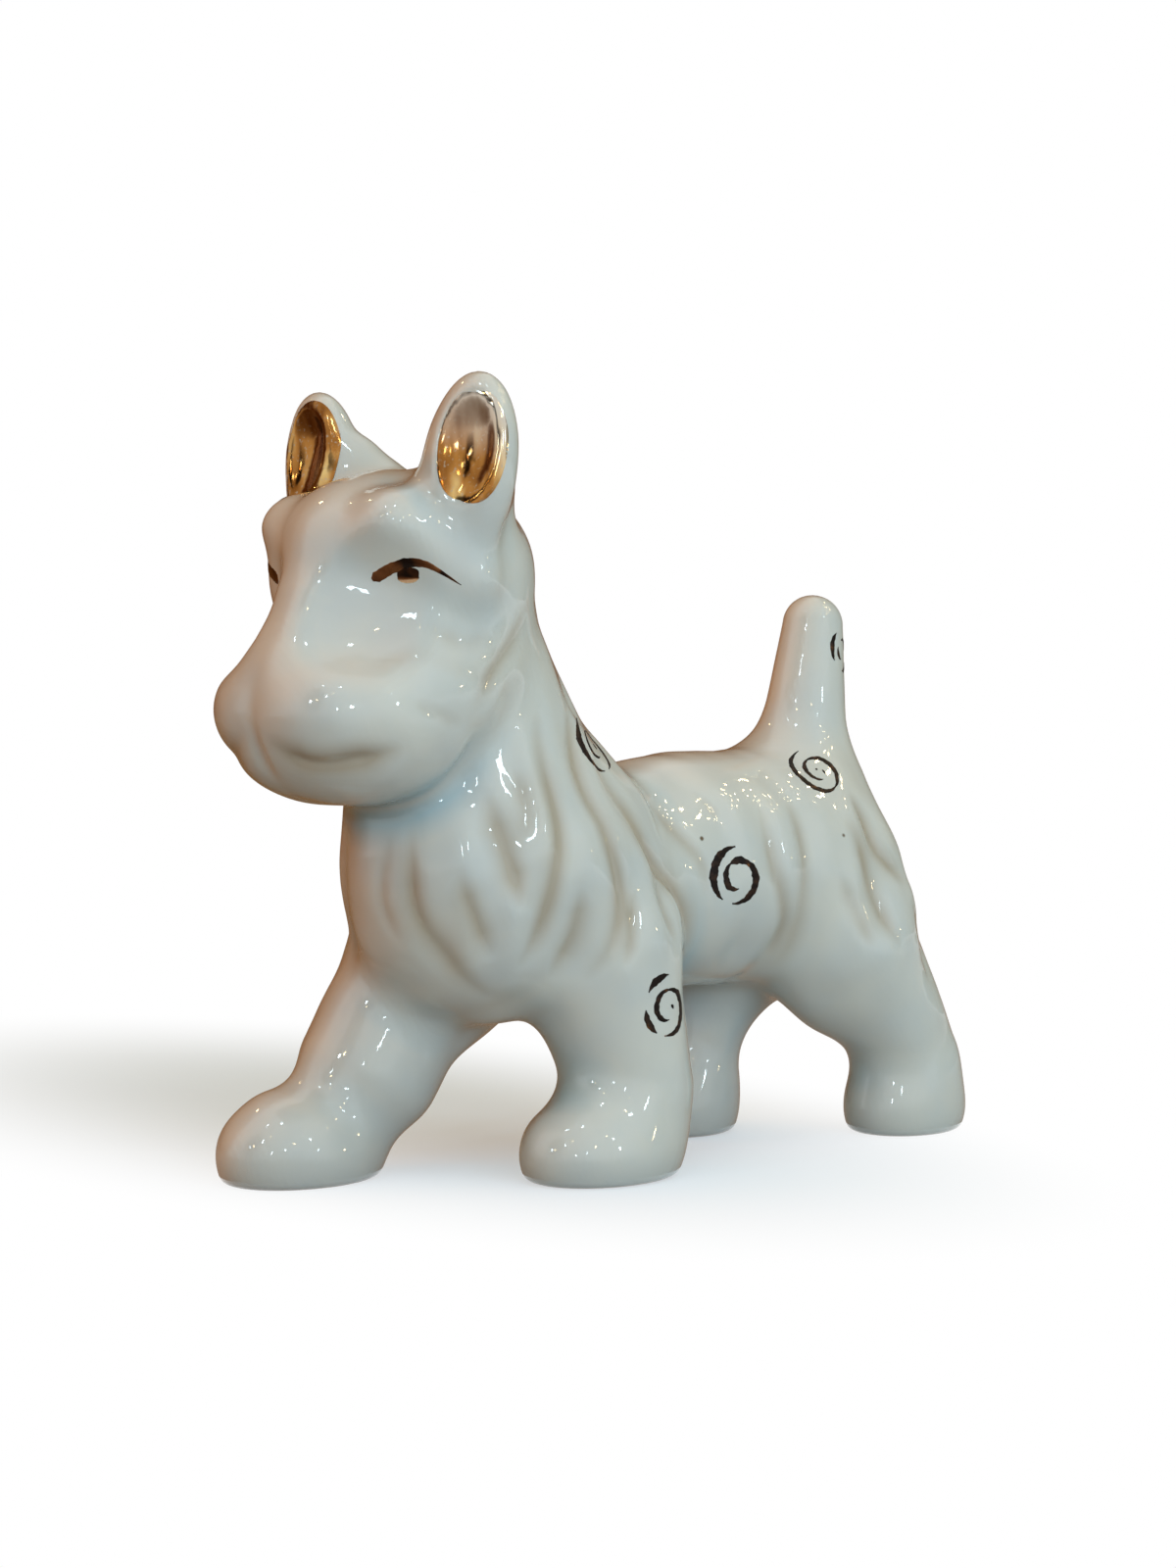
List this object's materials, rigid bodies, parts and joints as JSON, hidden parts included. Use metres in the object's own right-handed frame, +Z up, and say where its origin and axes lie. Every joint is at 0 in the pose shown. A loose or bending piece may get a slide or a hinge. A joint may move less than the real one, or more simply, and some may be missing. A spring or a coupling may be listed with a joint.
{
  "type": "porcelain dog figurine",
  "caption": "Small striding terrier ornament in white glazed porcelain with gold lustre ears, eyes and spiral curls.",
  "frame": {"origin": "on the table, under the middle of the figure's box", "axes": "+Z up, the dog faces -Y and its left side is +X"},
  "size_m": [0.0396, 0.1, 0.0898],
  "materials": {
    "glazed_porcelain": "clear gloss glaze over white porcelain, warm where it pools in creases",
    "gold_lustre": "bright fired gold lustre",
    "worn_lustre": "thin dark gold lustre, worn brush strokes"
  },
  "bodies": {
    "root": {"torso": "glazed_porcelain", "head": "glazed_porcelain", "ear_left": "glazed_porcelain", "ear_right": "glazed_porcelain", "tail": "glazed_porcelain", "leg_front_left": "glazed_porcelain", "leg_front_right": "glazed_porcelain", "leg_hind_left": "glazed_porcelain", "leg_hind_right": "glazed_porcelain", "ear_gold_left": "gold_lustre", "ear_gold_right": "gold_lustre", "eye_gold_left": "gold_lustre", "eye_gold_right": "gold_lustre", "curl_neck_left": "worn_lustre", "curl_neck_right": "worn_lustre", "curl_flank_left": "worn_lustre", "curl_flank_right": "worn_lustre", "curl_leg_left": "worn_lustre", "curl_leg_right": "worn_lustre", "curl_rump_left": "worn_lustre", "curl_rump_right": "worn_lustre", "curl_tail_left": "worn_lustre", "curl_tail_right": "worn_lustre"}
  },
  "joints": []
}
